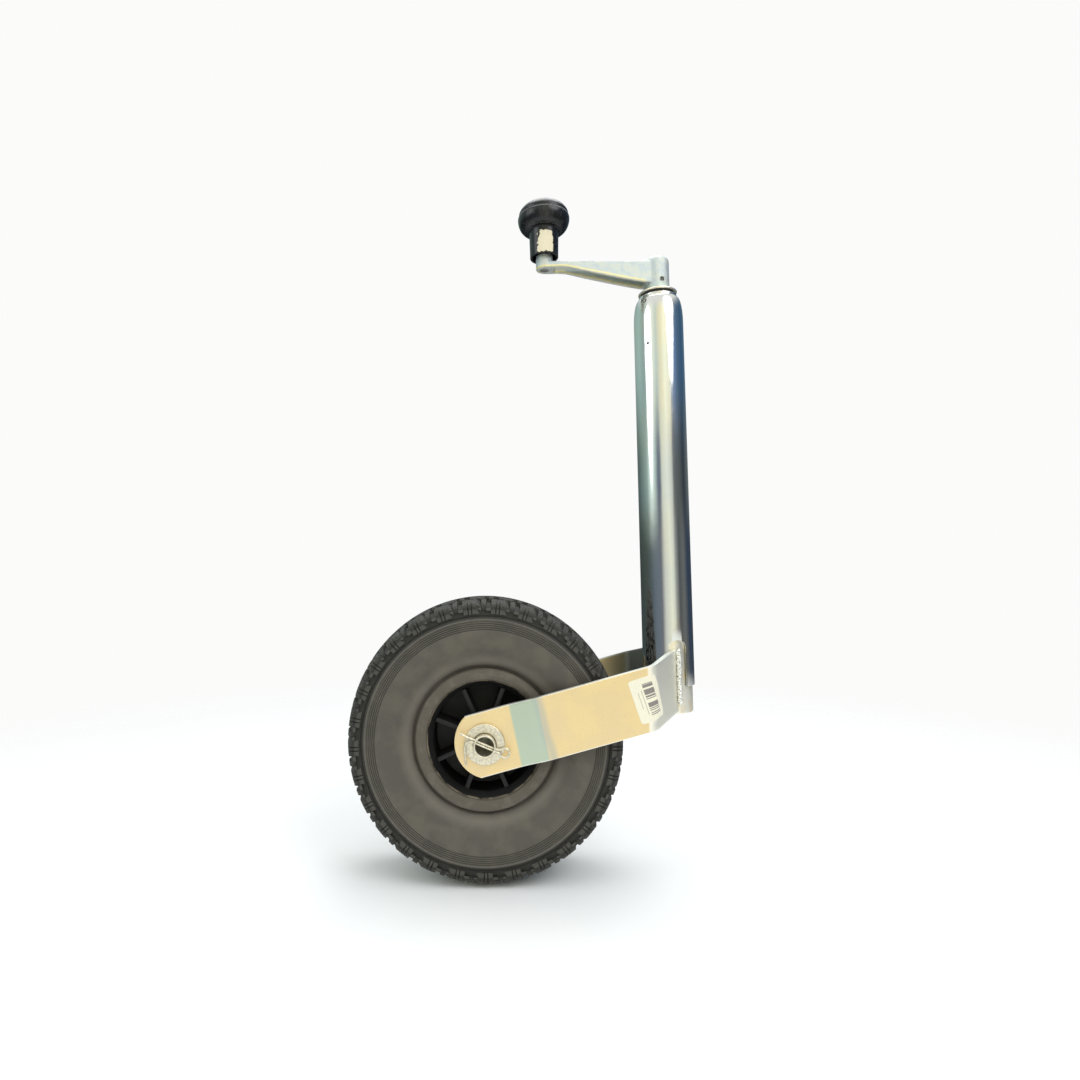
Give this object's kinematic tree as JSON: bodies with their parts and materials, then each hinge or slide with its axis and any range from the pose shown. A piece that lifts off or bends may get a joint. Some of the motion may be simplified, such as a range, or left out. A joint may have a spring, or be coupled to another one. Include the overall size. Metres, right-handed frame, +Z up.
{
  "type": "trailer jockey wheel",
  "caption": "Cranked trailer jockey wheel: a plated tube column with a screw inside, a mushroom knob on the crank, and a pneumatic wheel in a bent flat-bar fork.",
  "frame": {"origin": "on the column's axis, level with the lower end of the outer tube", "axes": "+Z up the column, -X towards the wheel, and the wheel's axle along Y with the near side of the fork at -Y"},
  "size_m": [0.3323, 0.115, 0.6602],
  "materials": {
    "bright_zinc": "bright zinc plating, nearly mirror smooth, with fine drawn streaks",
    "yellow_zinc": "zinc plating with a pale yellow passivation and a fine grain",
    "cast_zinc": "die casting with a sandy skin and a thin yellow green passivation",
    "weld_metal": "rippled weld bead under zinc plating",
    "steel": "turned steel with a film of grease",
    "knob_plastic": "glossy black moulding",
    "bush_plastic": "matt black moulding",
    "nylon": "natural nylon",
    "rim_plastic": "dark grey brown polypropylene with paler worn edges",
    "tyre_rubber": "dusty dark grey rubber",
    "butyl_rubber": "black butyl rubber"
  },
  "bodies": {
    "column": {"outer_tube": "bright_zinc", "spindle_bush": "bush_plastic", "thrust_race_upper": "steel"},
    "crank_drive": {"spindle": "steel", "spindle_stop_ring": "steel", "thrust_race_lower": "steel", "cover_washer": "yellow_zinc", "crank": "cast_zinc", "crank_pin": "steel", "knob_stud": "steel", "knob_washer": "steel"},
    "bearing": {"ball_cage": "nylon"},
    "knob_grip": {"knob": "knob_plastic", "knob_cap": "knob_plastic"},
    "sliding_leg": {"inner_tube": "yellow_zinc", "spindle_nut": "steel", "guide_collar": "nylon", "fork_arm_near": "yellow_zinc", "fork_arm_far": "yellow_zinc", "weld_near": "weld_metal", "weld_far": "weld_metal", "axle_tube": "bright_zinc", "axle_washer_near": "bright_zinc", "axle_washer_far": "bright_zinc", "hub_spacer_near": "bright_zinc", "hub_spacer_far": "bright_zinc", "split_pin_near": "bright_zinc", "split_pin_far": "bright_zinc"},
    "wheel": {"rim": "rim_plastic", "wheel_bush_near": "nylon", "wheel_bush_far": "nylon", "tyre": "tyre_rubber", "air_tube": "butyl_rubber", "valve_stem": "butyl_rubber", "valve_cap": "bush_plastic"}
  },
  "joints": [
    {"name": "crank_spin", "type": "hinge", "parent": "column", "child": "crank_drive", "pos_m": [0, 0, 0.389], "axis": [0, 0, 1], "range_deg": [0, 19800]},
    {"name": "leg_slide", "type": "slide", "parent": "column", "child": "sliding_leg", "axis": [0, 0, -1], "range_m": [0, 0.22]},
    {"name": "bearing_spin", "type": "hinge", "parent": "column", "child": "bearing", "pos_m": [0, 0, 0.378], "axis": [0, 0, 1], "range_deg": [0, 9900]},
    {"name": "knob_spin", "type": "hinge", "parent": "crank_drive", "child": "knob_grip", "pos_m": [-0.114, 0, 0.4277], "axis": [0, 0, 1], "continuous": true},
    {"name": "wheel_spin", "type": "hinge", "parent": "sliding_leg", "child": "wheel", "pos_m": [-0.1783, 0, -0.0448], "axis": [0, 1, 0], "continuous": true}
  ],
  "couplings": [
    {"joint": "leg_slide", "follows": "crank_spin", "m_per_rad": 0.00063662},
    {"joint": "bearing_spin", "follows": "crank_spin", "ratio": 0.5}
  ]
}
